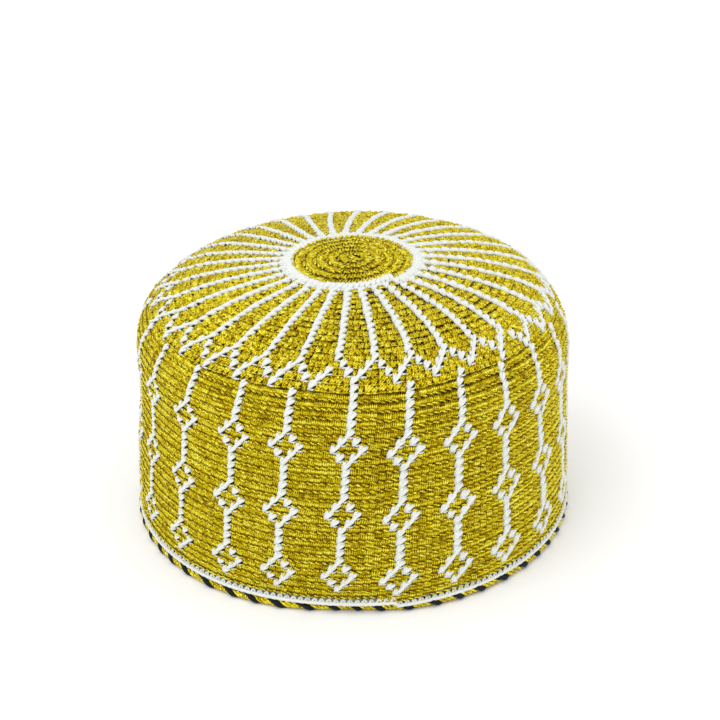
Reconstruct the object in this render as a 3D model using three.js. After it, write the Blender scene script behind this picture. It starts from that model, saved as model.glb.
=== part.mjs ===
// A crocheted round cap, open below, with a low domed top and an upright side. It is worked in
// one spiral of single crochet from the middle of the crown down to the rim, so every piece
// here but the edging is a band of the same cloth, told apart by its yarn and its pattern.
//
// Millimetres. +Z is up and the cap stands on z = 0, with its front towards -Y.
import * as THREE from "three";
import { mergeVertices } from "three/addons/utils/BufferGeometryUtils.js";

// Driving dimensions
const CLOTH_THICKNESS = 2.6;
const GAP = 0.3;

// The outer face of the cloth, followed from the middle of the crown down to the rim.
// along: the distance travelled on the cloth. slope: the angle below the horizontal there,
// in degrees. lean: how far that round of the soft cap is pushed over towards +X.
const clothCourse = [
  { along: 0, slope: 0, lean: 0.7 },
  { along: 24, slope: 4.4, lean: 0.7 },
  { along: 48, slope: 7.5, lean: 2.6 },
  { along: 66, slope: 14.4, lean: 4.0 },
  { along: 78, slope: 34.8, lean: 2.4 },
  { along: 90, slope: 57.0, lean: 0.9 },
  { along: 102, slope: 86.0, lean: 0.9 },
  { along: 114, slope: 92.5, lean: 0.9 },
  { along: 134, slope: 85.0, lean: 0.4 },
  { along: 154, slope: 87.0, lean: 0 },
  { along: 174, slope: 89.0, lean: 0 },
  { along: 182, slope: 89.0, lean: 0 },
];
const RIM = clothCourse.at(-1).along;

// Where one band of the cloth gives way to the next, along the same course.
const MEDALLION_EDGE = 23.5;
const WHITE_ROUND_EDGE = 27.0;
const CROWN_EDGE = 85.2;
const HEM_TOP = 173.6;
const HEM_BOTTOM = 177.2;

const MEDALLION_ROUNDS = 6;
const RIDGE_HEIGHT = 0.8;
const HEM_LIFT = 0.5;

// The edging is a cord of two yarns twisted together, which runs round the rim.
const EDGING_RADIUS = 2.45;
const EDGING_FOOT_WIDTH = 2.4;
const EDGING_CENTRE_FROM_FACE = 1.5;
const EDGING_TURNS = 54;
const EDGING_LOBE = 0.45;

// Facets
const FACETS_ROUND = 64;
const MEDALLION_FACETS = 48;
const CROWN_STEP = 8;
const SIDE_STEP = 7;
const EDGING_FACETS_PER_TURN = 4;
const EDGING_SECTION_STEPS = 6;

const radians = THREE.MathUtils.degToRad;
const lerp = THREE.MathUtils.lerp;

// A column of the course table at a distance along the cloth.
function courseValue(column, along) {
  const next = Math.max(1, clothCourse.findIndex((row) => along <= row.along));
  const [before, after] = [clothCourse[next - 1], clothCourse[next]];
  const share = (along - before.along) / (after.along - before.along);
  return lerp(before[column], after[column], share);
}

// The cloth's path, walked in short steps: radius, and drop below the crown's middle.
const WALK_STEP = 0.5;
const walk = [{ radius: 0, drop: 0 }];
for (let along = WALK_STEP; along <= RIM; along += WALK_STEP) {
  const slope = radians(courseValue("slope", along - WALK_STEP / 2));
  const last = walk.at(-1);
  walk.push({
    radius: last.radius + WALK_STEP * Math.cos(slope),
    drop: last.drop + WALK_STEP * Math.sin(slope),
  });
}
const HEIGHT = walk.at(-1).drop;
const RIM_RADIUS = walk.at(-1).radius;

// The point of a lathe profile at a distance along the cloth, that deep under its outer face.
function clothPoint(along, depth) {
  const at = Math.min(along / WALK_STEP, walk.length - 1);
  const index = Math.min(Math.floor(at), walk.length - 2);
  const [here, next] = [walk[index], walk[index + 1]];
  const slope = radians(courseValue("slope", along));
  const radius = lerp(here.radius, next.radius, at - index) - depth * Math.sin(slope);
  const drop = lerp(here.drop, next.drop, at - index) + depth * Math.cos(slope);
  return new THREE.Vector2(radius, HEIGHT - drop);
}

// Evenly spaced distances from one end of a band to the other.
function stations(from, to, longestStep) {
  const count = Math.ceil((to - from) / longestStep);
  return Array.from({ length: count + 1 }, (_, i) => lerp(from, to, i / count));
}

// One closed skin: shared vertices, and no face that has shrunk to a line on the axis.
function closedSkin(geometry) {
  geometry.deleteAttribute("normal");
  geometry.deleteAttribute("uv");
  const merged = mergeVertices(geometry, 1e-4);
  const corners = Array.from(merged.index.array);
  const kept = [];
  for (let i = 0; i < corners.length; i += 3) {
    const face = corners.slice(i, i + 3);
    if (new Set(face).size === 3) kept.push(...face);
  }
  merged.setIndex(kept);
  merged.computeVertexNormals();
  return merged;
}

// Turns a profile about the upright axis, then moves each of its vertices as place says.
function turned(profile, facets, place) {
  const geometry = new THREE.LatheGeometry(profile, facets).rotateX(Math.PI / 2);
  const position = geometry.getAttribute("position");
  const vertex = new THREE.Vector3();
  for (let i = 0; i < position.count; i += 1) {
    vertex.fromBufferAttribute(position, i);
    place(vertex, i % profile.length, Math.floor(i / profile.length) / facets);
    position.setXYZ(i, ...vertex);
  }
  return closedSkin(geometry);
}

// A ring of cloth between two distances along the course, half a gap short at either edge.
function bandGeometry(from, to, longestStep, lift = 0) {
  const alongs = stations(from + GAP / 2, to - GAP / 2, longestStep);
  const up = alongs.toReversed();
  const profile = [
    ...up.map((along) => clothPoint(along, -lift)),
    ...alongs.map((along) => clothPoint(along, CLOTH_THICKNESS)),
    clothPoint(up[0], -lift),
  ];
  const leans = [...up, ...alongs, up[0]].map((along) => courseValue("lean", along));
  return turned(profile, FACETS_ROUND, (vertex, row) => {
    vertex.x += leans[row];
  });
}

// The medallion: a disc whose top is raised rounds of stitches, closed on the axis.
function medallionGeometry() {
  const edge = MEDALLION_EDGE - GAP / 2;
  const roundWidth = edge / (MEDALLION_ROUNDS - 0.5);
  const top = [];
  for (let round = 0; round < MEDALLION_ROUNDS; round += 1) {
    const crest = round * roundWidth;
    const valley = Math.min(crest + roundWidth / 2, edge);
    top.push(clothPoint(crest, 0), clothPoint(valley, RIDGE_HEIGHT));
  }
  const profile = [
    clothPoint(0, CLOTH_THICKNESS),
    clothPoint(edge, CLOTH_THICKNESS),
    ...top.reverse(),
  ];
  return turned(profile, MEDALLION_FACETS, (vertex) => {
    vertex.x += courseValue("lean", 0);
  });
}

// The edging: a round cord pressed flat where it stands, with a low lobe for each turn of its
// two yarns. The lobes wind round the cord, and only push its skin in and out sideways.
function edgingGeometry() {
  const centreHeight = Math.sqrt(EDGING_RADIUS ** 2 - (EDGING_FOOT_WIDTH / 2) ** 2);
  const footAngle = -Math.asin(centreHeight / EDGING_RADIUS);
  const centreRadius = RIM_RADIUS - EDGING_CENTRE_FROM_FACE;
  const angles = Array.from({ length: EDGING_SECTION_STEPS + 1 }, (_, i) =>
    lerp(footAngle, Math.PI - footAngle, i / EDGING_SECTION_STEPS),
  );
  angles.push(angles[0]);
  const profile = angles.map(
    (angle) =>
      new THREE.Vector2(
        centreRadius + EDGING_RADIUS * Math.cos(angle),
        centreHeight + EDGING_RADIUS * Math.sin(angle),
      ),
  );
  const facets = EDGING_TURNS * EDGING_FACETS_PER_TURN;
  return turned(profile, facets, (vertex, row, share) => {
    const wind = Math.cos(2 * Math.PI * EDGING_TURNS * share - angles[row]);
    const push = EDGING_LOBE * wind * Math.cos(angles[row]);
    const radius = Math.hypot(vertex.x, vertex.y);
    vertex.x *= 1 + push / radius;
    vertex.y *= 1 + push / radius;
  });
}

// Yarns
const goldYarn = { color: 0xc9ab12, roughness: 0.42, metalness: 0.45, flatShading: true };
const whiteYarn = { color: 0xe4e8e6, roughness: 0.9, metalness: 0, flatShading: true };
const edgingYarn = { color: 0x8f7d18, roughness: 0.5, metalness: 0.3, flatShading: true };

function piece(name, geometry, yarn) {
  const mesh = new THREE.Mesh(geometry, new THREE.MeshStandardMaterial(yarn));
  mesh.name = name;
  return mesh;
}

const cap = new THREE.Group();
cap.name = "topi_cap";
cap.add(
  piece("crown_medallion", medallionGeometry(), goldYarn),
  piece(
    "medallion_white_round",
    bandGeometry(MEDALLION_EDGE, WHITE_ROUND_EDGE, CROWN_STEP),
    whiteYarn,
  ),
  piece("crown_top", bandGeometry(WHITE_ROUND_EDGE, CROWN_EDGE, CROWN_STEP), goldYarn),
  piece("side_wall", bandGeometry(CROWN_EDGE, HEM_TOP, SIDE_STEP), goldYarn),
  piece("hem_white_round", bandGeometry(HEM_TOP, HEM_BOTTOM, SIDE_STEP, HEM_LIFT), whiteYarn),
  piece("edging_cord", edgingGeometry(), edgingYarn),
);

export default cap;
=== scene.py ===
# %% [markdown]
# A crocheted topi cap
#
# The real cap is one cloth, worked stitch by stitch in a spiral from the middle of the crown
# down to the rim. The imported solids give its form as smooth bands. This lesson puts the yarn
# on them: about eight thousand single crochet stitches in gold lurex and white cotton, laid
# out by the same chart that a maker would follow, and a cord of two yarns round the rim.

# %% Load the frame
import math

import bpy
import numpy as np
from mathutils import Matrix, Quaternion, Vector


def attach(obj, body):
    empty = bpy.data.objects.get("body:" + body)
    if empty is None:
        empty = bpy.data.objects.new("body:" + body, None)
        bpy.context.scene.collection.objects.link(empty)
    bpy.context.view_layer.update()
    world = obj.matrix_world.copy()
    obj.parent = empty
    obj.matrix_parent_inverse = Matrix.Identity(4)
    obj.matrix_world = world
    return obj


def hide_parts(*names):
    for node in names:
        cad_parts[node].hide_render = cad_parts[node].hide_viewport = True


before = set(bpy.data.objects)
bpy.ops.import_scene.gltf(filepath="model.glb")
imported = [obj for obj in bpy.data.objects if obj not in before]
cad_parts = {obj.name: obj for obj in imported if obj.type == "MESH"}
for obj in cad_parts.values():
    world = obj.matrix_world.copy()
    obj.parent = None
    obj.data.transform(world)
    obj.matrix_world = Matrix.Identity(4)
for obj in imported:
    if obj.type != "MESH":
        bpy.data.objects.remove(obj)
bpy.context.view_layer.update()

# %% [markdown]
# The cloth's course
#
# Every band of the cap is one surface of revolution, a little pushed over to one side because
# the real cloth is soft. Its outer face is a path walked from the middle of the crown to the
# rim: how far along, how steep there, and how far that round leans towards +X. The stitches
# need positions and directions on it, so the walk is done once and read back by interpolation.

# %% Walk the cloth
MM = 0.001

# Each row: mm along the cloth, degrees below the level there, mm of lean towards +X.
COURSE = np.array([
    (0, 0, 0.7),
    (24, 4.4, 0.7),
    (48, 7.5, 2.6),
    (66, 14.4, 4.0),
    (78, 34.8, 2.4),
    (90, 57.0, 0.9),
    (102, 86.0, 0.9),
    (114, 92.5, 0.9),
    (134, 85.0, 0.4),
    (154, 87.0, 0.0),
    (174, 89.0, 0.0),
    (182, 89.0, 0.0),
])
RIM = COURSE[-1, 0]
CLOTH_THICKNESS = 2.6
WALK_STEP = 0.5

walk_along = np.arange(0, RIM + WALK_STEP / 2, WALK_STEP)
walk_slope = np.radians(np.interp(walk_along[1:] - WALK_STEP / 2, COURSE[:, 0], COURSE[:, 1]))
walk_radius = np.concatenate([[0], np.cumsum(WALK_STEP * np.cos(walk_slope))])
walk_drop = np.concatenate([[0], np.cumsum(WALK_STEP * np.sin(walk_slope))])
HEIGHT = walk_drop[-1]
RIM_RADIUS = walk_radius[-1]
print(f"the cloth is {HEIGHT:.1f} mm high and {2 * RIM_RADIUS:.1f} mm wide at its rim")

# %% Where the soft cloth sags
# Each row: mm along the cloth, mm that it lies inside the smooth solids. The first table is
# for the whole round, the second is added on the right.
SAG = np.array([(0, 0.2), (30, 1.0), (70, 1.1), (95, 0.0), (182, 0.0)])
RIGHT_SAG = np.array([(40, 0.0), (70, 1.0), (85, 1.4), (105, 0.7), (125, 0.0)])

# The front is pressed in towards the rim: mm, degrees round, and mm along the cloth.
FRONT_DENT = 1.2
FRONT_DENT_ANGLE = -8
FRONT_DENT_WIDTH = 18
FRONT_DENT_START = 145
FRONT_DENT_GROWTH = 30


def nearness(angle, middle_degrees, width_degrees):
    """1 at an angle round the cap, and less the further another angle is from it."""
    away = (np.mod(np.degrees(angle) + 180 - middle_degrees, 360) - 180) / width_degrees
    return np.exp(-away**2)


def sag(along, angle):
    """How far the soft cloth lies inside the smooth solids."""
    everywhere = np.interp(along, SAG[:, 0], SAG[:, 1])
    right = np.interp(along, RIGHT_SAG[:, 0], RIGHT_SAG[:, 1]) * np.maximum(np.sin(angle), 0)
    growth = np.clip((along - FRONT_DENT_START) / FRONT_DENT_GROWTH, 0, 1)
    front = FRONT_DENT * nearness(angle, FRONT_DENT_ANGLE, FRONT_DENT_WIDTH) * growth
    return everywhere + right + front


print(f"the crown's right side sags by up to {sag(78, math.pi / 2):.1f} mm")


# %% Places and directions on the cloth
def cloth(along, angle, depth=0.0):
    """Points on the cloth in mm: along its course, round it from the front, and that deep."""
    along, angle = np.broadcast_arrays(np.asarray(along, float), angle)
    depth = depth + sag(along, angle)
    slope = np.radians(np.interp(along, COURSE[:, 0], COURSE[:, 1]))
    lean = np.interp(along, COURSE[:, 0], COURSE[:, 2])
    radius = np.interp(along, walk_along, walk_radius) - depth * np.sin(slope)
    height = HEIGHT - np.interp(along, walk_along, walk_drop) - depth * np.cos(slope)
    return np.stack([lean + radius * np.sin(angle), -radius * np.cos(angle), height], -1)


def cloth_axes(along, angle):
    """The cloth's outward direction and the direction of its rows, towards the right."""
    along, angle = np.broadcast_arrays(np.asarray(along, float), angle)
    slope = np.radians(np.interp(along, COURSE[:, 0], COURSE[:, 1]))
    outward = np.stack(
        [np.sin(slope) * np.sin(angle), -np.sin(slope) * np.cos(angle), np.cos(slope)], -1
    )
    along_row = np.stack([np.cos(angle), np.sin(angle), np.zeros_like(angle)], -1)
    return outward, along_row


print("the front of the rim is at", cloth(RIM, 0.0).round(1), "mm")

# %% [markdown]
# Camera, floor and light
#
# The photograph looks down on the cap by about 28 degrees from 0.7 m, with a long lens. The
# floor and the surroundings are plain white, as in the photograph, and large soft lights keep
# the yarn's glints small.

# %% Helpers for the stage
def add_object(name, data):
    """A new object in the scene, at the origin."""
    made = bpy.data.objects.new(name, data)
    bpy.context.scene.collection.objects.link(made)
    return made


def aim(thing, start, target, roll_degrees=0.0):
    """Puts a camera or a light at start, in mm, looking at target."""
    thing.location = Vector(start) * MM
    facing = (Vector(target) - Vector(start)).to_track_quat("-Z", "Y")
    roll = Quaternion((0, 0, 1), math.radians(roll_degrees))
    thing.rotation_euler = (facing @ roll).to_euler()


# %% The camera
# Places are in mm, the roll in degrees, the clip in metres. The first three were fitted to
# the photograph, and so was the lens.
CAMERA_FROM = (0.7, -616.0, 382.4)
CAMERA_AIM = (3.4, 0.0, 63.9)
CAMERA_ROLL = -0.71
CAMERA_LENS = 83.4
FAR_CLIP = 20

camera = add_object("camera", bpy.data.cameras.new("camera"))
camera.data.lens = CAMERA_LENS
camera.data.clip_end = FAR_CLIP
aim(camera, CAMERA_FROM, CAMERA_AIM, CAMERA_ROLL)
bpy.context.scene.camera = camera
camera_away = (Vector(CAMERA_FROM) - Vector(CAMERA_AIM)).length
print(f"the camera is {camera_away:.0f} mm from the cap")

# %% Floor and light
FLOOR_HALF = 4.0
floor_mesh = bpy.data.meshes.new("floor")
floor_mesh.from_pydata(
    [(x * FLOOR_HALF, y * FLOOR_HALF, 0) for x, y in ((-1, -1), (1, -1), (1, 1), (-1, 1))],
    [],
    [(0, 1, 2, 3)],
)
floor = add_object("floor", floor_mesh)

# Each row: name, place in mm, size in m, watts.
LIGHTS = (
    ("key", (-450, -450, 1000), 0.8, 3.5),
    ("fill", (800, -500, 500), 0.9, 0.8),
)
for light_name, place, size, watts in LIGHTS:
    lamp = bpy.data.lights.new(light_name, "AREA")
    lamp.energy = watts
    lamp.size = size
    aim(add_object(light_name, lamp), place, (0, 0, 50))

world = bpy.data.worlds.new("studio")
world.use_nodes = True
background = world.node_tree.nodes["Background"]
background.inputs["Color"].default_value = (1, 1, 1, 1)
background.inputs["Strength"].default_value = 1.0
bpy.context.scene.world = world
bpy.context.scene.view_settings.view_transform = "Standard"
print(len(LIGHTS), "soft lights over a floor", 2 * FLOOR_HALF, "m wide")

# %% [markdown]
# Yarn finishes
#
# Three yarns are in the cap. The gold is lurex: a thin metallised ribbon twisted round a core,
# so it is a rough gold metal that glitters where a ribbon's flat side faces the light. The
# white is a soft twisted cotton. The edging's second yarn is a dark blue-green thread. Each
# strand of the model carries a UV map in mm along it and turns round it, so the twist of the
# plies can be drawn on it. Each stitch also carries a random number, its tint, which shifts
# its pattern so that no two stitches look the same.

# %% Material helpers
def srgb(text):
    """A linear colour from an sRGB hex value."""
    parts = [int(text[i : i + 2], 16) / 255 for i in (1, 3, 5)]
    return (*[p / 12.92 if p <= 0.04045 else ((p + 0.055) / 1.055) ** 2.4 for p in parts], 1.0)


def add_node(tree, kind, settings=None, links=None):
    """Adds a node, sets its properties or input values, and links other sockets to it."""
    made = tree.nodes.new(kind)
    for key, value in (settings or {}).items():
        if isinstance(key, str) and hasattr(made, key):
            setattr(made, key, value)
        else:
            made.inputs[key].default_value = value
    for key, source in (links or {}).items():
        tree.links.new(source, made.inputs[key])
    return made


def new_material(name):
    """A material with its node tree and its Principled shader."""
    made = bpy.data.materials.new(name)
    made.use_nodes = True
    return made, made.node_tree, made.node_tree.nodes["Principled BSDF"]


# %% Patterns of a twisted yarn
def ply_height(tree, plies, lay_mm):
    """A wave for the plies of a twisted yarn: it winds round the strand once in lay_mm."""
    strand = add_node(tree, "ShaderNodeUVMap", {"uv_map": "strand"})
    split = add_node(tree, "ShaderNodeSeparateXYZ", links={0: strand.outputs["UV"]})
    along = add_node(
        tree, "ShaderNodeMath", {"operation": "DIVIDE", 1: lay_mm}, {0: split.outputs["X"]}
    )
    wound = add_node(tree, "ShaderNodeMath", {"operation": "ADD"}, {
        0: along.outputs[0],
        1: split.outputs["Y"],
    })
    phase = add_node(
        tree,
        "ShaderNodeMath",
        {"operation": "MULTIPLY", 1: 2 * math.pi * plies},
        {0: wound.outputs[0]},
    )
    return add_node(tree, "ShaderNodeMath", {"operation": "SINE"}, {0: phase.outputs[0]})


def speckle(tree, size_mm, detail=2.0):
    """Noise whose grains are about size_mm across."""
    place = add_node(tree, "ShaderNodeTexCoord")
    return add_node(
        tree,
        "ShaderNodeTexNoise",
        {"Scale": 1 / (size_mm * MM), "Detail": detail},
        {"Vector": place.outputs["Object"]},
    )


def strand_flecks(tree, length_mm, around):
    """Noise in flecks that lie along the yarn, and differ from one stitch to the next."""
    strand = add_node(tree, "ShaderNodeUVMap", {"uv_map": "strand"})
    stretched = add_node(
        tree,
        "ShaderNodeMapping",
        {"Scale": (1 / length_mm, around, 1)},
        {"Vector": strand.outputs["UV"]},
    )
    tint = add_node(tree, "ShaderNodeAttribute", {"attribute_name": "tint"})
    own = add_node(
        tree, "ShaderNodeMath", {"operation": "MULTIPLY", 1: 300.0}, {0: tint.outputs["Fac"]}
    )
    return add_node(
        tree,
        "ShaderNodeTexNoise",
        {"noise_dimensions": "4D", "Scale": 1.0, "Detail": 2.0},
        {"Vector": stretched.outputs["Vector"], "W": own.outputs[0]},
    )


def mixed(tree, wave, grain, wave_share):
    """A wave or a coarse noise, scaled down, added to a finer noise."""
    scaled = add_node(
        tree, "ShaderNodeMath", {"operation": "MULTIPLY", 1: wave_share}, {0: wave.outputs[0]}
    )
    return add_node(
        tree,
        "ShaderNodeMath",
        {"operation": "ADD"},
        {0: scaled.outputs[0], 1: grain.outputs["Fac"]},
    )


# %% Gold lurex
# A metallised ribbon twisted round a core. Its colour carries painted glints, bright flecks
# 0.75 mm long and a quarter of the strand's turn wide where the flat ribbon would face the
# light, and painted shade, a deep brown-gold, where it turns away. Patches of 1.7 mm, about
# half a stitch, are a little brighter than others.
FLECK_LENGTH = 0.75
FLECKS_AROUND = 4.0
PATCH_SIZE = 1.7
gold_yarn, tree, shader = new_material("gold_lurex_yarn")
flecks = strand_flecks(tree, FLECK_LENGTH, FLECKS_AROUND)
patches = mixed(tree, speckle(tree, PATCH_SIZE, 0.0), flecks, 0.25)
# The ramp: painted shade at its dark end, the gold's own tones between, a painted glint at its bright
# end.
gold_glint_and_shade_ramp = add_node(tree, "ShaderNodeValToRGB", links={"Fac": patches.outputs[0]})
gold_glint_and_shade_ramp.color_ramp.elements[0].position = 0.455
gold_glint_and_shade_ramp.color_ramp.elements[0].color = srgb("#7A5C00")
gold_glint_and_shade_ramp.color_ramp.elements[1].position = 0.815
gold_glint_and_shade_ramp.color_ramp.elements[1].color = srgb("#FFFC78")
for position, colour in ((0.57, "#C6AC00"), (0.675, "#E8D800")):
    gold_glint_and_shade_ramp.color_ramp.elements.new(position).color = srgb(colour)
height = mixed(tree, ply_height(tree, 3, 2.4), flecks, 0.3)
bump = add_node(
    tree,
    "ShaderNodeBump",
    {"Strength": 0.6, "Distance": 0.25 * MM},
    {"Height": height.outputs[0]},
)
tree.links.new(gold_glint_and_shade_ramp.outputs["Color"], shader.inputs["Base Color"])
tree.links.new(bump.outputs["Normal"], shader.inputs["Normal"])
shader.inputs["Metallic"].default_value = 0.75
shader.inputs["Roughness"].default_value = 0.36
print(gold_yarn.name, "has", len(tree.nodes), "nodes")

# %% White cotton
# Soft mercerised cotton: matt, near white, with its three plies just showing. Its fibres are
# too fine to show, so they are drawn as a grain of 0.4 mm.
FIBRE_GRAIN = 0.4
white_yarn, tree, shader = new_material("white_cotton_yarn")
fibre = speckle(tree, FIBRE_GRAIN, 2.0)
white_ramp = add_node(tree, "ShaderNodeValToRGB", links={"Fac": fibre.outputs["Fac"]})
white_ramp.color_ramp.elements[0].position = 0.3
white_ramp.color_ramp.elements[0].color = srgb("#D6DAD5")
white_ramp.color_ramp.elements[1].position = 0.7
white_ramp.color_ramp.elements[1].color = srgb("#F1F3EF")
height = mixed(tree, ply_height(tree, 3, 2.6), fibre, 0.35)
bump = add_node(
    tree,
    "ShaderNodeBump",
    {"Strength": 0.6, "Distance": 0.2 * MM},
    {"Height": height.outputs[0]},
)
tree.links.new(white_ramp.outputs["Color"], shader.inputs["Base Color"])
tree.links.new(bump.outputs["Normal"], shader.inputs["Normal"])
shader.inputs["Roughness"].default_value = 0.85
shader.inputs["Sheen Weight"].default_value = 0.2
print(white_yarn.name, "has", len(tree.nodes), "nodes")

# %% Dark thread
# A smooth dark blue-green thread, nearly black, with only a faint gloss on each ply.
dark_yarn, tree, shader = new_material("dark_teal_thread")
strand_height = ply_height(tree, 3, 2.2)
bump = add_node(
    tree,
    "ShaderNodeBump",
    {"Strength": 0.5, "Distance": 0.2 * MM},
    {"Height": strand_height.outputs[0]},
)
tree.links.new(bump.outputs["Normal"], shader.inputs["Normal"])
shader.inputs["Base Color"].default_value = srgb("#031014")
shader.inputs["Roughness"].default_value = 0.6
shader.inputs["Specular IOR Level"].default_value = 0.25

# %% The cloth's back, the gaps and the floor
# The wrong side of the crochet, seen from inside: the same two yarns, duller. Where it is
# seen in the pits from outside, its faces mostly carry painted shade, a dark gold. Each face
# carries its colour.
cloth_back_and_pit_shade, tree, shader = new_material("crochet_wrong_side_and_pit_shade")
grain = speckle(tree, 0.9, 3.0)
back_colour = add_node(tree, "ShaderNodeAttribute", {"attribute_name": "yarn_and_pit_shade_colour"})
bump = add_node(
    tree,
    "ShaderNodeBump",
    {"Strength": 0.8, "Distance": 0.5 * MM},
    {"Height": grain.outputs["Fac"]},
)
tree.links.new(back_colour.outputs["Color"], shader.inputs["Base Color"])
tree.links.new(bump.outputs["Normal"], shader.inputs["Normal"])
shader.inputs["Roughness"].default_value = 0.8

# Painted shade: a small dark strand beside each white stitch, where the opening into the cap
# shows only shade.
painted_gap_shade, tree, shader = new_material("painted_crochet_gap_shade")
shader.inputs["Base Color"].default_value = srgb("#1B1A06")
shader.inputs["Roughness"].default_value = 0.9

# Matt white paper.
paper, tree, shader = new_material("white_paper")
shader.inputs["Base Color"].default_value = srgb("#FFFFFF")
shader.inputs["Roughness"].default_value = 0.9
floor.data.materials.append(paper)
print(len(bpy.data.materials), "materials in all")

# %% [markdown]
# One single crochet stitch
#
# The cap is worked from the crown down, so each stitch hangs with its foot up. Its legs come
# out from behind the row above, and a loop lies along its lower edge. In the thick cotton two
# legs show. The long one slants from the upper right to the lower left, which gives crochet in
# the round its leaning look. The thinner lurex opens out into two to four finer legs. Each
# strand is a tube along three or four points. A stitch repeated thousands of times has to be
# light, so a tube has four or five sides, and smooth shading does the rest.

# %% A tube along points
def strand_mesh(strands, name):
    """One mesh of closed tubes. A strand is (points, radii, sides, closed ring or not)."""
    vertices, faces, uvs = [], [], []
    for points, radii, sides, ring in strands:
        points = np.asarray(points, float)
        radii = np.broadcast_to(np.asarray(radii, float), len(points))
        if ring:
            ahead = np.roll(points, -1, 0) - np.roll(points, 1, 0)
        else:
            ahead = np.gradient(points, axis=0)
        ahead /= np.linalg.norm(ahead, axis=1)[:, None]
        side_way = np.cross(ahead, np.array([0.0, 0.0, 1.0]))
        side_way /= np.linalg.norm(side_way, axis=1)[:, None]
        over = np.cross(side_way, ahead)
        turn = np.arange(sides) * 2 * math.pi / sides
        skin = (
            points[:, None]
            + radii[:, None, None] * np.cos(turn)[None, :, None] * side_way[:, None]
            + radii[:, None, None] * np.sin(turn)[None, :, None] * over[:, None]
        )
        base = len(vertices)
        vertices += [tuple(v) for v in skin.reshape(-1, 3)]
        steps = np.linalg.norm(np.diff(points, axis=0), axis=1)
        length = np.concatenate([[0], np.cumsum(steps)])
        count = len(points)
        for i in range(count if ring else count - 1):
            after = (i + 1) % count
            start = length[i]
            end = length[after] if after else length[-1] + np.linalg.norm(points[0] - points[-1])
            for k in range(sides):
                k_next = (k + 1) % sides
                faces.append((
                    base + i * sides + k,
                    base + after * sides + k,
                    base + after * sides + k_next,
                    base + i * sides + k_next,
                ))
                low, high = k / sides, (k + 1) / sides
                uvs += [(start, low), (end, low), (end, high), (start, high)]
        if not ring:
            first = [base + k for k in range(sides)]
            last = [base + (count - 1) * sides + k for k in reversed(range(sides))]
            faces += [tuple(first), tuple(last)]
            uvs += [(0, 0)] * sides + [(length[-1], 0)] * sides
    made = bpy.data.meshes.new(name)
    made.from_pydata([tuple(c * MM for c in v) for v in vertices], [], faces)
    layer = made.uv_layers.new(name="strand")
    layer.data.foreach_set("uv", np.array(uvs, np.float32).ravel())
    made.polygons.foreach_set("use_smooth", [True] * len(made.polygons))
    return made


# %% The stitches' strands
STITCH_WIDTH = 2.77
ROW_PITCH = 3.4
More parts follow.
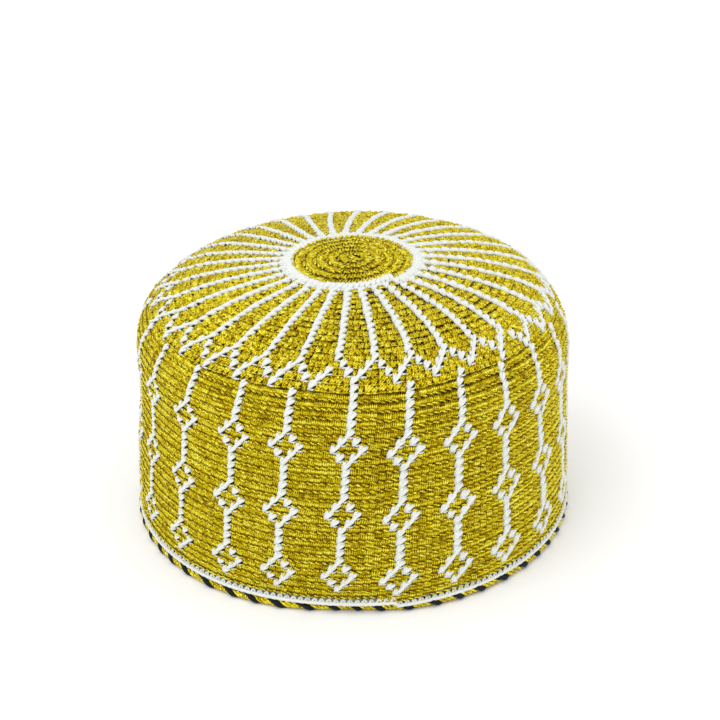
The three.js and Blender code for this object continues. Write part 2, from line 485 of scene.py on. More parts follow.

# Points are mm from the stitch's middle on the cloth's outer face: right, up and out. Each
# strand is given by its points, its radius in the middle and its sides. Beside the stitches
# of the rounds there are the teeth of the hem's round, a smooth strand that joins a white
# stitch to a white one at its lower left, and a dark strand of painted shade where the
# opening beside a white stitch lies.
TAPERS = {3: np.array([0.65, 1.0, 0.75]), 4: np.array([0.65, 1.0, 1.0, 0.7])}
STITCH_STRANDS = {
    "cotton": (
        (((1.75, 0.9, -0.95), (1.35, 0.6, -0.4), (0.1, -0.45, -0.25), (-1.3, -1.9, -0.9)), 0.86, 5),
        (((0.6, 1.8, -0.8), (-0.2, 1.0, -0.4), (-1.15, -1.1, -0.7)), 0.78, 5),
        (((-1.2, -1.95, -1.0), (0.5, -2.0, -0.35), (2.0, -1.65, -0.9)), 0.4, 4),
    ),
    "ray_cotton": (
        (((1.65, 1.3, -1.0), (1.1, 0.8, -0.45), (0.0, -0.5, -0.3), (-1.2, -1.9, -0.9)), 0.96, 5),
        (((0.3, 2.1, -0.95), (-0.3, 1.0, -0.45), (-1.0, -1.1, -0.7)), 0.92, 5),
        (((-1.2, -1.85, -1.0), (0.4, -1.8, -0.5), (1.7, -1.5, -0.9)), 0.6, 4),
    ),
    "ring_cotton": (
        (((1.75, 1.3, -1.3), (1.2, 0.8, -0.6), (0.0, -0.5, -0.35), (-1.3, -1.9, -0.9)), 1.1, 5),
        (((-0.1, 2.0, -1.1), (-0.6, 1.0, -0.5), (-1.15, -1.1, -0.7)), 1.0, 5),
        (((-1.3, -1.8, -0.9), (0.3, -1.7, -0.6), (1.7, -1.4, -0.9)), 0.7, 4),
    ),
    "crown_gold": (
        (((1.55, 1.9, -1.6), (0.7, 0.75, -1.0), (-0.3, -0.5, -0.75), (-1.35, -1.9, -1.3)), 0.52, 4),
        (((2.0, 1.6, -1.6), (1.3, 0.3, -1.05), (0.4, -0.85, -0.8), (-0.5, -1.9, -1.2)), 0.52, 4),
        (((-0.2, 2.1, -1.5), (-0.55, 0.6, -1.0), (-1.05, -1.1, -1.25)), 0.62, 4),
        (((-1.5, -1.7, -0.95), (0.1, -1.8, -0.4), (1.6, -1.5, -1.0)), 0.42, 4),
    ),
    "side_gold": (
        (((-0.9, 1.7, -1.75), (-1.05, -0.2, -1.1), (-1.25, -1.5, -1.2)), 0.52, 4),
        (((-0.1, 1.7, -1.7), (-0.3, -0.3, -0.85), (-0.6, -1.5, -1.2)), 0.52, 4),
        (((0.8, 1.6, -1.7), (0.45, -0.4, -0.95), (0.1, -1.6, -1.2)), 0.52, 4),
        (((1.55, 1.5, -1.75), (1.15, -0.3, -0.8), (0.8, -1.5, -1.2)), 0.5, 4),
        (((-1.6, -1.4, -0.8), (-0.7, -1.2, -0.2), (0.55, -1.75, -0.15), (1.6, -1.95, -0.8)), 0.42, 4),
    ),
    "ridge_gold": (
        (((1.3, 2.1, -0.9), (0.65, 0.3, -0.85), (-0.1, -1.4, -0.8)), 0.62, 4),
        (((-0.1, 2.1, -0.9), (-0.7, 0.4, -0.75), (-1.25, -1.3, -0.8)), 0.62, 4),
        (((-1.6, -0.9, -0.7), (-0.6, -1.1, -0.35), (0.6, -1.5, -0.3), (1.6, -1.8, -0.7)), 0.52, 4),
    ),
    "tooth": (
        (((-0.9, -1.6, -0.9), (-0.5, -0.4, -0.4), (0.1, 0.9, -1.0)), 0.55, 4),
        (((0.95, -1.6, -0.9), (0.65, -0.4, -0.55), (0.1, 0.9, -1.1)), 0.5, 4),
    ),
    "slant": (
        (((0.8, 0.4, -0.6), (-0.5, -1.1, -0.15), (-1.9, -2.6, -0.1), (-2.6, -3.4, -0.5)), 0.72, 5),
    ),
    "gap": (
        (((0.6, -1.4, -0.9), (1.3, -0.95, -0.55), (1.9, -0.5, -0.8)), 0.46, 4),
    ),
}
STITCH_KINDS = {
    name: [(points, radius * TAPERS[len(points)], sides, False) for points, radius, sides in kind]
    for name, kind in STITCH_STRANDS.items()
}
stitches = {
    name: add_object(name, strand_mesh(strands, name))
    for name, strands in STITCH_KINDS.items()
}
for name, stitch in stitches.items():
    print(name, sum(len(p.vertices) - 2 for p in stitch.data.polygons), "triangles")

# %% [markdown]
# The chart
#
# The crown has 34 rays of one white stitch each. A gold wedge between two rays starts one
# stitch wide and grows as the rounds get longer, until the wedge with its ray is six stitches.
# Then each ray parts into two slanting lines, which meet their neighbours' in a V. The side
# has 24 white columns, 8 or 9 stitches apart, each with three diamonds in a repeat of 8 rows.
# Rows are counted from the V of the crown's front: 0 is its tip, 8 the first diamond's middle.

# %% The chart's numbers
# Angles are in degrees from the front, to the right.
RAYS = 34
ROUND_STITCHES = 6 * RAYS
FRONT_TIP_ANGLE = -1.0
RAY_SHIFT = -0.5
DIAMOND_REPEAT = 8
FIRST_DIAMOND_ROW = 8
LAST_COLUMN_ROW = 26
LAST_GOLD_ROW = 27
HEM_ROW = 28
HEM_PITCH = 2.9
WHITE_ROUND_ROW = -16
FIRST_FULL_ROW = -3
LAST_RAY_ROW = -5
ARM_ROWS = 3
DRIFT_PER_ROW = -0.08
EARLY_TIPS = (-6.0, 50.0)

# The stitches of one wedge, ray included, in the rounds before it is six wide. Each row: the
# first round that has them, and their number.
WEDGE_GROWTH = ((-16, 2), (-13, 3), (-10, 4), (-7, 5), (-3, 6))

# The gaps between the side's columns in stitches, going right from the front one.
COLUMN_GAPS = (8, 8, 8, 8, 8, 8, 9, 9, 8, 9, 9, 8, 9, 9, 8, 9, 9, 8, 9, 8, 9, 9, 8, 9)
COLUMN_STITCHES = np.cumsum((0,) + COLUMN_GAPS[:-1])
print(RAYS, "rays,", len(COLUMN_GAPS), "columns and", ROUND_STITCHES, "stitches in a round")

# %% How the rounds lie
SEAM_ANGLE = 4.5
HEM_JOIN_ANGLE = 10.5
SEAM_RISE_MM = 2.9
SEAM_FADE = 14
SEAM_GROWTH_ROWS = 7
HEM_SEAM_SHARE = 0.55

# Soft cloth doesn't lie evenly, so the rays and columns don't run straight. Each row: a place
# along the cloth in mm, and how many degrees it is turned at each of the angles below.
PULL_ANGLES = (-180, -120, -75, -50, -20, 0, 15, 30, 45, 60, 80, 120, 180)
PULL = (
    (30, 12.0, 6.8, 2.8, 1.6, 1.4, 2.2, 3.2, 4.5, 5.9, 7.4, 9.4, 12.3, 12.0),
    (48, 9.6, 4.9, 1.3, 0.1, 0.0, 0.6, 2.0, 3.4, 4.7, 5.7, 7.3, 9.8, 9.6),
    (69, 6.5, 2.9, 0.3, -0.5, -0.8, -0.2, 0.4, 1.0, 2.0, 3.6, 5.0, 6.1, 6.5),
    (84, 5.0, 2.0, -1.2, -1.2, -1.0, 0.2, 1.2, 2.3, 3.6, 4.4, 5.0, 5.0, 5.0),
    (90, 3.0, 2.0, 3.2, 2.6, 1.1, 0.6, 0.8, 0.6, 0.0, 0.0, 0.0, 3.0, 3.0),
    (103, 3.0, 2.0, 1.2, 1.2, 1.0, 0.3, 0.2, 0.1, -0.2, -0.6, -0.9, 3.0, 3.0),
    (114, 3.0, 2.0, -0.6, -0.1, 0.6, -0.2, -0.2, 0.2, 0.5, 0.6, 0.6, 3.0, 3.0),
    (128, 3.0, 2.0, -0.3, 0.0, 0.5, -0.1, 0.1, 0.8, 1.5, 2.4, 3.4, 3.0, 3.0),
    (141, 3.0, 2.0, 0.0, 0.0, 0.4, 0.0, 0.3, 1.4, 2.6, 4.6, 5.5, 4.0, 3.0),
    (160, 3.0, 2.0, 0.2, 0.5, 0.8, 0.0, 1.0, 1.9, 3.8, 6.0, 6.5, 4.0, 3.0),
)

# The crown's edge is drawn up in places. Each row: an angle in degrees, and mm of rise there.
EDGE_ALONG = 84
EDGE_REACH = 10
EDGE_RISE = (
    (-45, 0), (-20, 0.8), (-11, 1.2), (0, 0), (12, 0.2), (20, 0.9), (30, 1.9), (60, 1.9), (110, 0)
)

# Where rows lie along the cloth in mm: the rounds are not worked quite evenly.
ROW_PLACES = np.array([(-16, 25.6), (0, 82.3), (8, 109.1), (16, 137.2), (24, 164.1), (28, 175.9)])


def row_along(row):
    """Where a row's middle lies on the cloth's course, left of the seam."""
    return np.interp(row, ROW_PLACES[:, 0], ROW_PLACES[:, 1])


def seam_drop(row, angle_degrees):
    """A round ends a row lower than it began: how many mm lower the row is by here."""
    seam = HEM_JOIN_ANGLE if row == HEM_ROW else SEAM_ANGLE
    gone = np.mod(seam - np.asarray(angle_degrees), 360) / 360
    share = HEM_SEAM_SHARE if row == HEM_ROW else np.clip((row - 1) / SEAM_GROWTH_ROWS, 0, 1)
    return SEAM_RISE_MM * share * gone**SEAM_FADE


def pulled(along, angle_degrees):
    """How many degrees to the right the soft cloth has been pulled at a place."""
    at = np.mod(angle_degrees + 180, 360) - 180
    turns = [np.interp(at, PULL_ANGLES, row[1:]) for row in PULL]
    return float(np.interp(along, [row[0] for row in PULL], turns))


def raised(along, angle_degrees):
    """How many mm higher up the cloth the points of the crown's edge sit than an even round."""
    at = np.mod(angle_degrees + 180, 360) - 180
    near = np.exp(-(((along - EDGE_ALONG) / EDGE_REACH) ** 2))
    return float(near * np.interp(at, *zip(*EDGE_RISE)))


print(f"at its front, row 8 is pulled round by {pulled(row_along(8), 0):.1f} degrees")


# %% Read the chart
def wedge_stitches(row):
    """How many stitches a wedge has in a row."""
    return [count for first, count in WEDGE_GROWTH if first <= row][-1]


def tip_row(tip):
    """The row of a V's tip. At the front they close one row early."""
    angle = (FRONT_TIP_ANGLE + tip * 360 / RAYS + 180) % 360 - 180
    return 0 if EARLY_TIPS[0] < angle < EARLY_TIPS[1] else 1


def is_white(row, index):
    """Whether the stitch at an index from the front tip is white, in rounds of 204."""
    tip = round(index / 6)
    if index % 6 == 3:
        nearest_tips = [tip_row(index // 6), tip_row(index // 6 + 1)]
        if row <= min(nearest_tips) - ARM_ROWS:
            return True
    elif row == tip_row(tip) - abs(index - 6 * tip):
        return True
    if row <= tip_row(tip) or row > LAST_COLUMN_ROW:
        return False
    place = (row - FIRST_DIAMOND_ROW) % DIAMOND_REPEAT
    reach = {0: 2, 1: 1, DIAMOND_REPEAT - 1: 1}.get(place, 0)
    if row <= FIRST_DIAMOND_ROW - 3:
        reach = 0
    away = (index - COLUMN_STITCHES + ROUND_STITCHES // 2) % ROUND_STITCHES
    return bool(np.any(np.abs(away - ROUND_STITCHES // 2) == reach))


def row_stitches(row):
    """How many stitches a row has, the angle of its first one and the angle between two."""
    if row >= FIRST_FULL_ROW:
        step = 360 / ROUND_STITCHES
        return ROUND_STITCHES, FRONT_TIP_ANGLE + DRIFT_PER_ROW * max(row - 1, 0) * step, step
    count = RAYS * wedge_stitches(row)
    return count, FRONT_TIP_ANGLE + 180 / RAYS + RAY_SHIFT, 360 / count


def white_here(row, index):
    """The chart: whether a row's stitch of this index is white."""
    if row in (WHITE_ROUND_ROW, HEM_ROW):
        return True
    if row < WHITE_ROUND_ROW:
        return False
    if row >= FIRST_FULL_ROW:
        return is_white(row, index)
    return index % wedge_stitches(row) == 0


chart_row = [white_here(FIRST_DIAMOND_ROW, i) for i in range(ROUND_STITCHES)]
print("row", FIRST_DIAMOND_ROW, "has", sum(chart_row), "white stitches")

# %% [markdown]
# Lay the stitches out
#
# Each stitch is a point with its own directions and size. Points of one yarn in one zone make
# one bare mesh, whose attributes the Geometry Nodes tree will read.

# %% The medallion's spiral
# Lengths are in mm. The last rounds are even circles, each of which steps inwards near
# STEP_ANGLE, over the last degrees of its turn.
MEDALLION_TURNS = 5.6
MEDALLION_EDGE = 24.6
MEDALLION_PITCH = 3.95
MEDALLION_STITCH = 2.5
LAST_ROUND_INSET = 0.45
EVEN_ROUNDS = 4
STEP_ANGLE = 41.0
STEP_FROM = 289


def late_step(left):
    """The share of its step inwards that a round has made, with that many degrees left."""
    return np.interp(np.mod(left, 360), (STEP_FROM, 360), (0, 1))


def medallion_round(left):
    """How far out the medallion's round lies, with that many degrees of the spiral left."""
    turns, within = divmod(left, 360)
    even = max(1 - turns / EVEN_ROUNDS, 0)
    gone = turns + even * late_step(within) + (1 - even) * within / 360
    return MEDALLION_EDGE - LAST_ROUND_INSET * MEDALLION_PITCH - MEDALLION_PITCH * gone


def medallion_rows():
    """The medallion's stitches, along one spiral that starts in the middle."""
    left = 360 * MEDALLION_TURNS
    while left > 0:
        along = medallion_round(left)
        angle = STEP_ANGLE + left
        yield 0, along, angle, MEDALLION_STITCH, MEDALLION_PITCH, False
        left -= math.degrees(MEDALLION_STITCH / along)


print(len(list(medallion_rows())), "stitches in the medallion")

# %% The rounds' stitches
WHITE_ROUND_WIDTH = 4.6
WHITE_ROUND_START = 1.4
STEP_FADE_ROWS = 3
PROBE_DEGREES = 3

# White stitches are a little narrower or wider than gold ones. Each row: round, share.
WHITE_SPREAD = ((-16, 0.98), (-12, 0.98), (0, 1.04), (28, 1.04))


def stitch_rows():
    """Every stitch of the rounds, from the medallion to the hem.

    It is given by its row, its place in mm and degrees, its size in mm, whether it is white,
    and whether the white goes on in the stitch at its lower left.
    """
    for row in range(WHITE_ROUND_ROW, HEM_ROW + 1):
        count, start, step = row_stitches(row)
        for index in range(-count // 2, count - count // 2):
            angle = start + index * step
            along = row_along(row) + seam_drop(row, angle)
            height = float(row_along(row + 0.5) - row_along(row - 0.5))
            if row == WHITE_ROUND_ROW:
                edge = medallion_round((angle - STEP_ANGLE) % 360) + WHITE_ROUND_START
                along, height = edge + WHITE_ROUND_WIDTH / 2, WHITE_ROUND_WIDTH
            elif row == HEM_ROW:
                height = HEM_PITCH
            else:
                before = pulled(along, angle - PROBE_DEGREES)
                stretch = (pulled(along, angle + PROBE_DEGREES) - before) / (2 * PROBE_DEGREES)
                angle += pulled(along, angle)
                along -= raised(along, angle)
                step_in = MEDALLION_PITCH * late_step(angle - STEP_ANGLE)
                along -= step_in * math.exp(-(row - WHITE_ROUND_ROW) / STEP_FADE_ROWS)
            width = math.radians(step) * np.interp(along, walk_along, walk_radius)
            if WHITE_ROUND_ROW < row < HEM_ROW:
                width *= 1 + stretch
            white = white_here(row, index)
            if white:
                width *= np.interp(row, *zip(*WHITE_SPREAD))
            slants = white and row >= FIRST_FULL_ROW and white_here(row + 1, index - 1)
            yield row, along, angle, width, height, white, slants


all_stitches = list(stitch_rows())
print(len(all_stitches), "stitches in the rounds")


# %% Points for one zone
def stitch_points(name, stitches_here):
    """A mesh of bare points for one zone, with the attributes that a stitch is placed by."""
    along = np.array([s[1] for s in stitches_here])
    angle = np.radians([s[2] for s in stitches_here])
    places = cloth(along, angle) * MM
    outward, along_row = cloth_axes(along, angle)
    size = np.array([(s[3] / STITCH_WIDTH, s[4] / ROW_PITCH, 1.0) for s in stitches_here])
    made = bpy.data.meshes.new(name)
    made.from_pydata(places.tolist(), [], [])
    for key, value in (("outward", outward), ("along_row", along_row), ("size", size)):
        attribute = made.attributes.new(key, "FLOAT_VECTOR", "POINT")
        attribute.data.foreach_set("vector", value.astype(np.float32).ravel())
    return made


def chosen(first_row, last_row, white):
    """The stitches of one yarn between two rows."""
    return [s for s in all_stitches if first_row <= s[0] <= last_row and s[5] == white]


print(len(chosen(HEM_ROW, HEM_ROW, True)), "stitches in the hem's white round")

# %% [markdown]
# Work the stitches with Geometry Nodes
#
# A tree puts the stitch on every point, turned by the point's own directions and sized by its
# own width. Hands are not machines, so each stitch also gets a small random turn, size and
# lift, from a fixed seed. The instances are realized, because an export keeps only real
# meshes, and every stitch takes a random tint with it for the material.

# %% The stitch tree
def make_stitch_tree():
    """Stitch on every point. Its inputs are named for what they change on the cap."""
    tree = bpy.data.node_groups.new("work_stitches", "GeometryNodeTree")
    sockets = tree.interface
    sockets.new_socket("Geometry", in_out="INPUT", socket_type="NodeSocketGeometry")
    for name, kind, default in (
        ("Stitch", "NodeSocketObject", None),
        ("Yarn", "NodeSocketMaterial", None),
        ("Turn Spread", "NodeSocketFloat", 0.09),
        ("Size Spread", "NodeSocketFloat", 0.08),
        ("Lift Spread", "NodeSocketFloat", 0.12 * MM),
        ("Seed", "NodeSocketInt", 1),
    ):
        socket = sockets.new_socket(name, in_out="INPUT", socket_type=kind)
        if default is not None:
            socket.default_value = default
    sockets.new_socket("Geometry", in_out="OUTPUT", socket_type="NodeSocketGeometry")
    given = tree.nodes.new("NodeGroupInput").outputs

    # What each point carries.
    carried = {}
    for name in ("outward", "along_row", "size"):
        reader = add_node(
            tree,
            "GeometryNodeInputNamedAttribute",
            {"data_type": "FLOAT_VECTOR", "Name": name},
        )
        carried[name] = reader.outputs["Attribute"]

    # What is random: each between minus and plus one of the inputs, from a seed of its own.
    chance = {}
    for name, kind, amount, seed_step in (
        ("turn", "FLOAT_VECTOR", "Turn Spread", 10),
        ("size", "FLOAT", "Size Spread", 20),
        ("lift", "FLOAT", "Lift Spread", 30),
        ("tint", "FLOAT", "Size Spread", 40),
    ):
        seed = add_node(
            tree, "ShaderNodeMath", {"operation": "ADD", 1: seed_step}, {0: given["Seed"]}
        )
        minus = add_node(
            tree, "ShaderNodeMath", {"operation": "MULTIPLY", 1: -1.0}, {0: given[amount]}
        )
        draw = add_node(tree, "FunctionNodeRandomValue", {"data_type": kind})
        ends = {s.name: s for s in draw.inputs if s.enabled}
        tree.links.new(minus.outputs[0], ends["Min"])
        tree.links.new(given[amount], ends["Max"])
        tree.links.new(seed.outputs[0], ends["Seed"])
        chance[name] = [s for s in draw.outputs if s.enabled][0]

    # Turn, size, lift and place the stitch.
    facing = add_node(
        tree,
        "FunctionNodeAxesToRotation",
        {"primary_axis": "Z", "secondary_axis": "X"},
        {"Primary Axis": carried["outward"], "Secondary Axis": carried["along_row"]},
    )
    wobble = add_node(tree, "FunctionNodeEulerToRotation", links={"Euler": chance["turn"]})
    turned = add_node(
        tree,
        "FunctionNodeRotateRotation",
        {"rotation_space": "LOCAL"},
        {"Rotation": facing.outputs[0], "Rotate By": wobble.outputs[0]},
    )
    growth = add_node(
        tree, "ShaderNodeMath", {"operation": "ADD", 1: 1.0}, {0: chance["size"]}
    )
    sized = add_node(
        tree,
        "ShaderNodeVectorMath",
        {"operation": "SCALE"},
        {0: carried["size"], "Scale": growth.outputs[0]},
    )
    lift = add_node(
        tree,
        "ShaderNodeVectorMath",
        {"operation": "SCALE"},
        {0: carried["outward"], "Scale": chance["lift"]},
    )
    lifted = add_node(
        tree,
        "GeometryNodeSetPosition",
        links={"Geometry": given["Geometry"], "Offset": lift.outputs[0]},
    )
    shape = add_node(tree, "GeometryNodeObjectInfo", links={"Object": given["Stitch"]})
    placed = add_node(tree, "GeometryNodeInstanceOnPoints", links={
        "Points": lifted.outputs["Geometry"],
        "Instance": shape.outputs["Geometry"],
        "Rotation": turned.outputs[0],
        "Scale": sized.outputs[0],
    })
    tinted = add_node(
        tree,
        "GeometryNodeStoreNamedAttribute",
        {"data_type": "FLOAT", "domain": "INSTANCE", "Name": "tint"},
        {"Geometry": placed.outputs["Instances"], "Value": chance["tint"]},
    )
    real = add_node(
        tree, "GeometryNodeRealizeInstances", links={"Geometry": tinted.outputs["Geometry"]}
    )
    spun = add_node(tree, "GeometryNodeSetMaterial", links={
        "Geometry": real.outputs["Geometry"],
        "Material": given["Yarn"],
    })
    output = tree.nodes.new("NodeGroupOutput")
    tree.links.new(spun.outputs["Geometry"], output.inputs["Geometry"])
    return tree


stitch_tree = make_stitch_tree()
print("the stitch tree has", len(stitch_tree.nodes), "nodes")


# %% Run the tree
def work(name, points, stitch, yarn, seed, **spreads):
    """Runs the stitch tree on a mesh of points, and gives the plain piece."""
    maker = add_object(name + "_points", points)
    modifier = maker.modifiers.new("stitches", "NODES")
    modifier.node_group = stitch_tree
    values = {"Stitch": stitch, "Yarn": yarn, "Seed": seed, **spreads}
    for item in stitch_tree.interface.items_tree:
        if item.item_type == "SOCKET" and item.in_out == "INPUT" and item.name in values:
            modifier[item.identifier] = values[item.name]
    ready = maker.evaluated_get(bpy.context.evaluated_depsgraph_get())
    mesh = bpy.data.meshes.new_from_object(ready)
    mesh.name = name
    bpy.data.objects.remove(maker)
    piece = add_object(name, mesh)
    print(name, sum(len(p.vertices) - 2 for p in mesh.polygons), "triangles")
    return piece


# %% Work the rounds
# Each row: the piece, its first and last row, and its kind of stitch. The crown's gold is
# worked more loosely than the rest.
WHITE_KINDS = ("cotton", "ray_cotton", "ring_cotton", "tooth")
LOOSE = {"Turn Spread": 0.2, "Size Spread": 0.12, "Lift Spread": 0.2 * MM}
ZONES = (
    ("medallion_white_stitches", WHITE_ROUND_ROW, WHITE_ROUND_ROW, "ring_cotton"),
    ("crown_gold_stitches", WHITE_ROUND_ROW + 1, 1, "crown_gold"),
    ("crown_white_rays", WHITE_ROUND_ROW + 1, LAST_RAY_ROW, "ray_cotton"),
    ("crown_white_points", LAST_RAY_ROW + 1, 1, "cotton"),
    ("side_gold_upper", 2, 10, "side_gold"),
    ("side_gold_middle", 11, 19, "side_gold"),
    ("side_gold_lower", 20, LAST_GOLD_ROW, "side_gold"),
    ("side_white_columns", 2, LAST_GOLD_ROW, "cotton"),
    ("hem_white_stitches", HEM_ROW, HEM_ROW, "tooth"),
)
pieces = {}
pieces["crown_medallion_stitches"] = work(
    "crown_medallion_stitches",
    stitch_points("medallion_places", list(medallion_rows())),
    stitches["ridge_gold"],
    gold_yarn,
    7,
)
for number, (zone, first, last, kind) in enumerate(ZONES):
    white = kind in WHITE_KINDS
    points = stitch_points(zone + "_places", chosen(first, last, white))
    yarn = white_yarn if white else gold_yarn
    spreads = LOOSE if kind == "crown_gold" else {}
    pieces[zone] = work(zone, points, stitches[kind], yarn, 100 + number, **spreads)

# %% Painted shade in the gaps, and slanting strands
pieces["white_stitch_gaps"] = work(
    "white_stitch_gaps",
    stitch_points("gap_shade_places", chosen(LAST_RAY_ROW, LAST_GOLD_ROW, True)),
    stitches["gap"],
    painted_gap_shade,
    200,
)
pieces["white_slants"] = work(
    "white_slants",
    stitch_points("slant_places", [s for s in all_stitches if s[6]]),
    stitches["slant"],
    white_yarn,
    210,
)
for stitch in stitches.values():
    bpy.data.objects.remove(stitch)

# %% [markdown]
# The back of the cloth
#
# Behind the strands lies the rest of the crochet, which is seen as dark pits from outside and
# as the wrong side of the same pattern from inside. One closed shell stands for it, with a face
# for every stitch, so that the chart can colour its inside. Its outer faces carry painted
# shade, a dark gold, save at the white ring and below the hem, where they are white.

# %% The wrong side
# Lengths are in mm.
BACK_DEPTH = 1.7
BACK_RIDGE = 0.3
BACK_END = 178.6
MEDALLION_LINES = 6
MEDALLION_LINE_INSET = 1.0
HEM_BACK_ROW = 29
# The first colour is painted shade for the pits; the other two are the wrong side's yarns.
PIT_SHADE_GOLD = srgb("#493B08")
BACK_GOLD = srgb("#8A7612")
BACK_WHITE = srgb("#B9BDB8")


def chart_at(row, angle_degrees):
    """Whether the cloth is white at a row and an angle that need not be a stitch's own."""
    if row < WHITE_ROUND_ROW or row > HEM_ROW:
        return row > HEM_ROW
    count, start, step = row_stitches(row)
    index = round((angle_degrees - start) / step)
    return white_here(row, (index + count // 2) % count - count // 2)


def wrong_side():
    """A closed shell from the middle of the crown to the rim, ridged row by row inside."""
    rows = np.arange(WHITE_ROUND_ROW, HEM_ROW + 1)
    turns = np.arange(1, MEDALLION_LINES + 1)
    inner_rounds = turns * MEDALLION_PITCH - MEDALLION_LINE_INSET
    lines = np.concatenate([inner_rounds, row_along(rows), [BACK_END]])
    inside_rows = np.full(MEDALLION_LINES, WHITE_ROUND_ROW - 1)
    rows_of_lines = np.concatenate([inside_rows, rows, [HEM_BACK_ROW]])
    degrees = FRONT_TIP_ANGLE + (np.arange(ROUND_STITCHES) + 0.5) * 360 / ROUND_STITCHES
    angles = np.radians(degrees)
    halves = (lines[1:] + lines[:-1]) / 2
    inner_lines = np.sort(np.concatenate([lines, halves]))
    ridge = BACK_RIDGE * (-1.0) ** np.arange(len(inner_lines))
    outer = cloth(lines[:, None], angles[None, :], BACK_DEPTH)
    inner = cloth(inner_lines[::-1, None], angles[None, :], CLOTH_THICKNESS + ridge[::-1, None])
    grid = np.concatenate([outer, inner])
    count = ROUND_STITCHES
    faces = []
    colours = []
    row_list = np.concatenate([rows_of_lines, np.repeat(rows_of_lines, 2)[:-1][::-1]])
    for i in range(len(grid) - 1):
        for k in range(count):
            after = (k + 1) % count
            below = (i + 1) * count
            faces.append((i * count + k, below + k, below + after, i * count + after))
            row = int(row_list[i + 1])
            solid = row in (WHITE_ROUND_ROW, HEM_BACK_ROW)
            inside = i >= len(outer)
            white_face = solid or inside and chart_at(row, degrees[k] + 180 / count)
            # Outer faces take the painted pit shade, except in the two white rows.
            colours.append(BACK_WHITE if white_face else BACK_GOLD if inside else PIT_SHADE_GOLD)
    top = len(grid) * count
    last = (len(grid) - 1) * count
    faces += [(top, k, (k + 1) % count) for k in range(count)]
    faces += [(top + 1, last + (k + 1) % count, last + k) for k in range(count)]
    colours += [PIT_SHADE_GOLD] * count + [BACK_GOLD] * count
    ends = cloth([0, 0], 0.0, np.array([BACK_DEPTH, CLOTH_THICKNESS]))
    made = bpy.data.meshes.new("cloth_back")
    places = np.concatenate([grid.reshape(-1, 3), ends]) * MM
    made.from_pydata(places.tolist(), [], faces)
    made.polygons.foreach_set("use_smooth", [True] * len(faces))
    paint = made.attributes.new("yarn_and_pit_shade_colour", "FLOAT_COLOR", "FACE")
    paint.data.foreach_set("color", np.array(colours, np.float32).ravel())
    return made


pieces["cloth_back"] = add_object("cloth_back", wrong_side())
pieces["cloth_back"].data.materials.append(cloth_back_and_pit_shade)
print("cloth_back", len(pieces["cloth_back"].data.polygons), "faces")

# %% [markdown]
# Hem line and edging
#
# Below the last white row runs the row's own chain of loops, which reads as a solid white
# line. Under it a gold and a dark yarn are twisted together. Both are helices round the rim,
# and the gold one is three thinner strands side by side.

# %% The hem's white line
# Lengths are in mm. The line swells in and out a little at each stitch.
HEM_LINE_ALONG = 177.2
HEM_LINE_DEPTH = 0.25
HEM_LINE_RADIUS = 0.75
HEM_LINE_SWELL = 0.1
HEM_LINE_STEPS = 2 * ROUND_STITCHES

angle = np.arange(HEM_LINE_STEPS) * 2 * math.pi / HEM_LINE_STEPS
along = HEM_LINE_ALONG + seam_drop(HEM_ROW, np.degrees(angle))
depth = HEM_LINE_DEPTH + HEM_LINE_SWELL * np.cos(ROUND_STITCHES * angle)
hem_strand = (cloth(along, angle, depth), HEM_LINE_RADIUS, 6, True)
hem_line = add_object("hem_white_line", strand_mesh([hem_strand], "hem_white_line"))
hem_line.data.materials.append(white_yarn)
pieces["hem_white_line"] = hem_line
print("hem_white_line", len(hem_line.data.polygons), "faces")

# %% The edging
# Lengths are in mm. The front of the edging is tucked in further. The winding is a little
# uneven: each row is waves round the rim, and how far they turn it in radians.
EDGING_TURNS = 54
EDGING_STEPS = 14 * EDGING_TURNS
EDGING_HEIGHT = 2.27
EDGING_TUCK = 1.3
FRONT_TUCK = 2.2
FRONT_TUCK_ANGLE = -1
FRONT_TUCK_WIDTH = 12
STRAND_HELIX = 1.15
GOLD_STRAND_RADIUS = 0.63
DARK_STRAND_RADIUS = 1.12
GOLD_PHASES = (104, 180, 256)
UNEVEN_WINDING = ((5, 0.8), (13, 0.6))


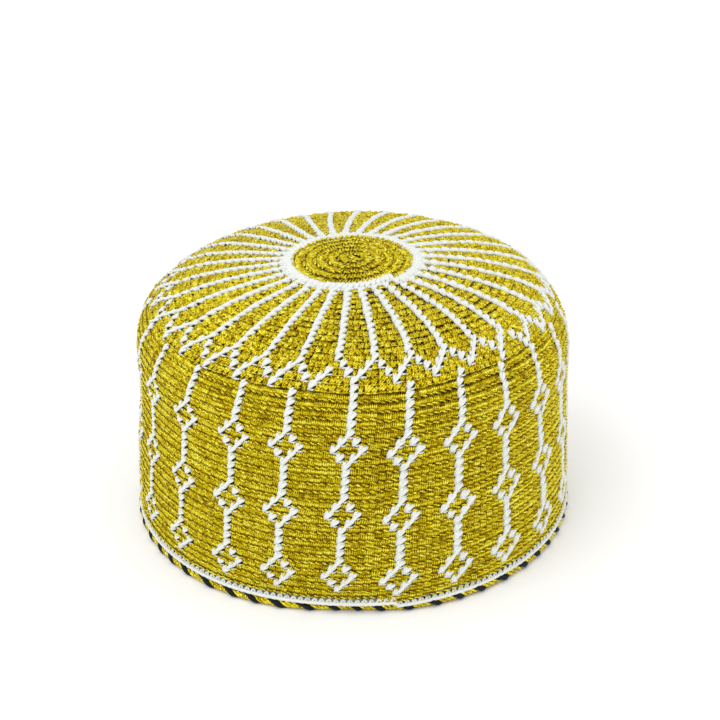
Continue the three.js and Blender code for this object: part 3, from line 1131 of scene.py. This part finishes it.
def cord_strand(phase_degrees, radius, sides):
    """One of the edging's four strands, wound round the cord."""
    angle = np.arange(EDGING_STEPS) * 2 * math.pi / EDGING_STEPS
    wind = EDGING_TURNS * angle + math.radians(phase_degrees)
    wind += sum(turn * np.sin(waves * angle) for waves, turn in UNEVEN_WINDING)
    front = FRONT_TUCK * nearness(angle, FRONT_TUCK_ANGLE, FRONT_TUCK_WIDTH)
    tuck = EDGING_TUCK + sag(RIM, angle) + front
    reach = RIM_RADIUS - tuck + STRAND_HELIX * np.cos(wind)
    height = EDGING_HEIGHT - STRAND_HELIX * np.sin(wind)
    points = np.stack([reach * np.sin(angle), -reach * np.cos(angle), height], -1)
    return points, radius, sides, True


gold_strands = [cord_strand(phase, GOLD_STRAND_RADIUS, 6) for phase in GOLD_PHASES]
dark_strand = cord_strand(0, DARK_STRAND_RADIUS, 7)
EDGING_STRANDS = {
    "edging_gold_yarn": (gold_strands, gold_yarn),
    "edging_dark_thread": ([dark_strand], dark_yarn),
}
for name, (strands, yarn) in EDGING_STRANDS.items():
    pieces[name] = add_object(name, strand_mesh(strands, name))
    pieces[name].data.materials.append(yarn)
    print(name, len(pieces[name].data.polygons), "faces")

# %% [markdown]
# Attach the pieces and hide the solids
#
# Every piece moves with the one body. The pieces stand for the smooth solids, which stay for
# collision, hidden.

# %% Ride and replace
# Each piece: its slot, and the solid that it stands for.
STANDS_FOR = {
    "crown_medallion_stitches": ("gold_yarn", "crown_medallion"),
    "medallion_white_stitches": ("white_yarn", "medallion_white_round"),
    "crown_gold_stitches": ("gold_yarn", "crown_top"),
    "crown_white_rays": ("white_yarn", "crown_top"),
    "crown_white_points": ("white_yarn", "crown_top"),
    "side_gold_upper": ("gold_yarn", "side_wall"),
    "side_gold_middle": ("gold_yarn", "side_wall"),
    "side_gold_lower": ("gold_yarn", "side_wall"),
    "side_white_columns": ("white_yarn", "side_wall"),
    "hem_white_stitches": ("white_yarn", "hem_white_round"),
    "hem_white_line": ("white_yarn", "hem_white_round"),
    "edging_gold_yarn": ("gold_yarn", "edging_cord"),
    "edging_dark_thread": ("edging_yarns", "edging_cord"),
    "cloth_back": ("gold_yarn", "side_wall"),
    "white_stitch_gaps": ("gold_yarn", "side_wall"),
    "white_slants": ("white_yarn", "side_wall"),
}
for name, piece in pieces.items():
    slot, node = STANDS_FOR[name]
    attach(piece, "root")
    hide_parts(node)
